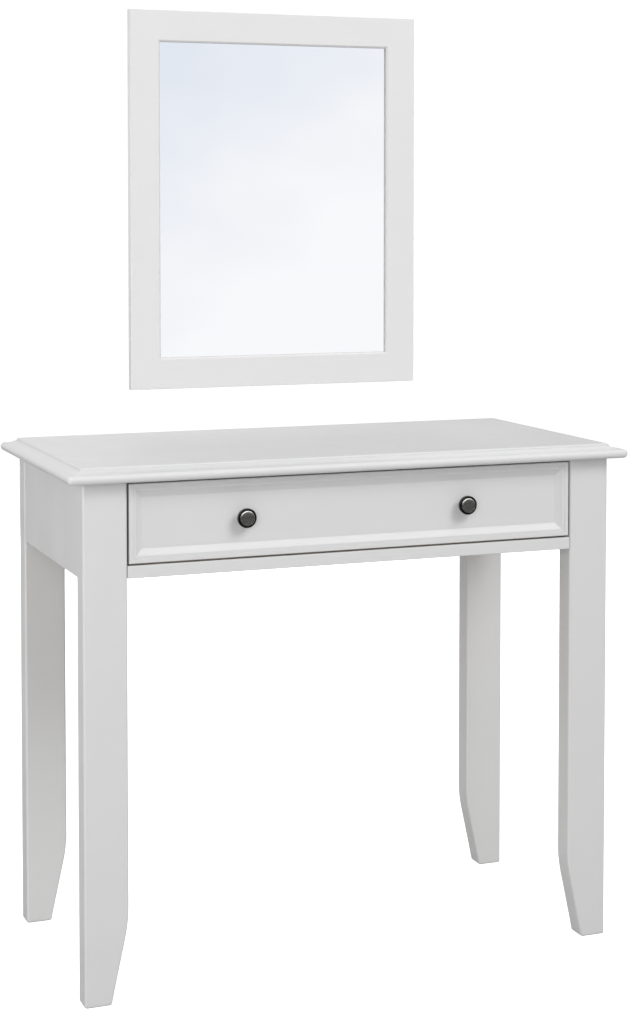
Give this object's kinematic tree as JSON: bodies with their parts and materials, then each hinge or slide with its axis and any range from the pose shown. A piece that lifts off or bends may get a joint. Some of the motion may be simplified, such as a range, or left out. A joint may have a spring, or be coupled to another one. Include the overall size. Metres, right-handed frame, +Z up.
{
  "type": "vanity table with mirror",
  "caption": "Vanity table with a moulded top, tapered legs, an inset panelled drawer on roller runners and two knobs, with a framed mirror that hangs on wall clips behind it.",
  "frame": {"origin": "on the floor under the middle of the tabletop, which is the middle of the whole object's base", "axes": "+Z up; the drawer opens towards -Y; the wall plane is at the +Y end; +X to the right seen from the front"},
  "size_m": [0.872, 0.444, 1.434],
  "materials": {
    "white_paint": "white satin lacquer on wood",
    "frame_paint": "white satin lacquer on wood",
    "birch": "unpainted solid birch, sanded",
    "plywood": "thin birch plywood",
    "hardboard": "brown hardboard",
    "zinc_steel": "bright zinc plate",
    "runner_steel": "white powder-coated sheet steel",
    "nylon": "natural nylon",
    "pewter": "antique pewter, dark in the hollows",
    "mirror_glass": "silvered glass",
    "felt": "grey felt"
  },
  "bodies": {
    "table": {"top_panel": "white_paint", "leg_front_left": "white_paint", "leg_front_right": "white_paint", "leg_back_left": "white_paint", "leg_back_right": "white_paint", "side_apron_left": "white_paint", "side_apron_right": "white_paint", "back_apron": "white_paint", "lower_rail": "white_paint", "kicker_rail": "birch", "runner_batten_left": "birch", "runner_batten_right": "birch", "corner_block_front_left": "birch", "corner_block_front_right": "birch", "corner_block_back_left": "birch", "corner_block_back_right": "birch", "frame_dowels": "birch", "top_screws": "zinc_steel", "batten_screws": "zinc_steel", "cabinet_runner_left": "runner_steel", "cabinet_runner_right": "runner_steel", "cabinet_runner_screws": "zinc_steel", "cabinet_axles": "zinc_steel", "wall_clips": "zinc_steel"},
    "drawer": {"drawer_front": "white_paint", "drawer_box_front": "birch", "drawer_side_left": "birch", "drawer_side_right": "birch", "drawer_back": "birch", "drawer_bottom": "plywood", "drawer_box_screws": "zinc_steel", "drawer_front_screws": "zinc_steel", "knob_left": "pewter", "knob_right": "pewter", "knob_screws": "zinc_steel", "drawer_runner_left": "runner_steel", "drawer_runner_right": "runner_steel", "drawer_runner_screws": "zinc_steel", "drawer_axles": "zinc_steel"},
    "mirror": {"mirror_stile_left": "frame_paint", "mirror_stile_right": "frame_paint", "mirror_rail_top": "frame_paint", "mirror_rail_bottom": "frame_paint", "mirror_glass": "mirror_glass", "mirror_backing": "hardboard", "backing_clips": "zinc_steel", "backing_clip_screws": "zinc_steel", "hanger_plates": "zinc_steel", "hanger_screws": "zinc_steel", "mirror_bumpers": "felt"},
    "cabinet_roller_left": {"cabinet_roller_left": "nylon"},
    "cabinet_roller_right": {"cabinet_roller_right": "nylon"},
    "drawer_roller_left": {"drawer_roller_left": "nylon"},
    "drawer_roller_right": {"drawer_roller_right": "nylon"}
  },
  "joints": [
    {"name": "drawer_slide", "type": "slide", "parent": "table", "child": "drawer", "axis": [0, -1, 0], "range_m": [0, 0.22]},
    {"name": "mirror_lift", "type": "slide", "parent": "table", "child": "mirror", "axis": [0, 0, 1], "range_m": [0, 0.03]},
    {"name": "cabinet_roller_left_spin", "type": "hinge", "parent": "table", "child": "cabinet_roller_left", "pos_m": [-0.34075, -0.167, 0.636], "axis": [1, 0, 0], "range_deg": [-6, 1266]},
    {"name": "cabinet_roller_right_spin", "type": "hinge", "parent": "table", "child": "cabinet_roller_right", "pos_m": [0.34075, -0.167, 0.636], "axis": [1, 0, 0], "range_deg": [-6, 1266]},
    {"name": "drawer_roller_left_spin", "type": "hinge", "parent": "drawer", "child": "drawer_roller_left", "pos_m": [-0.34075, 0.1075, 0.6355], "axis": [1, 0, 0], "range_deg": [-6, 1266]},
    {"name": "drawer_roller_right_spin", "type": "hinge", "parent": "drawer", "child": "drawer_roller_right", "pos_m": [0.34075, 0.1075, 0.6355], "axis": [1, 0, 0], "range_deg": [-6, 1266]}
  ],
  "couplings": [
    {"joint": "cabinet_roller_left_spin", "follows": "drawer_slide", "rad_per_m": 100},
    {"joint": "cabinet_roller_right_spin", "follows": "drawer_slide", "rad_per_m": 100},
    {"joint": "drawer_roller_left_spin", "follows": "drawer_slide", "rad_per_m": 100},
    {"joint": "drawer_roller_right_spin", "follows": "drawer_slide", "rad_per_m": 100}
  ]
}
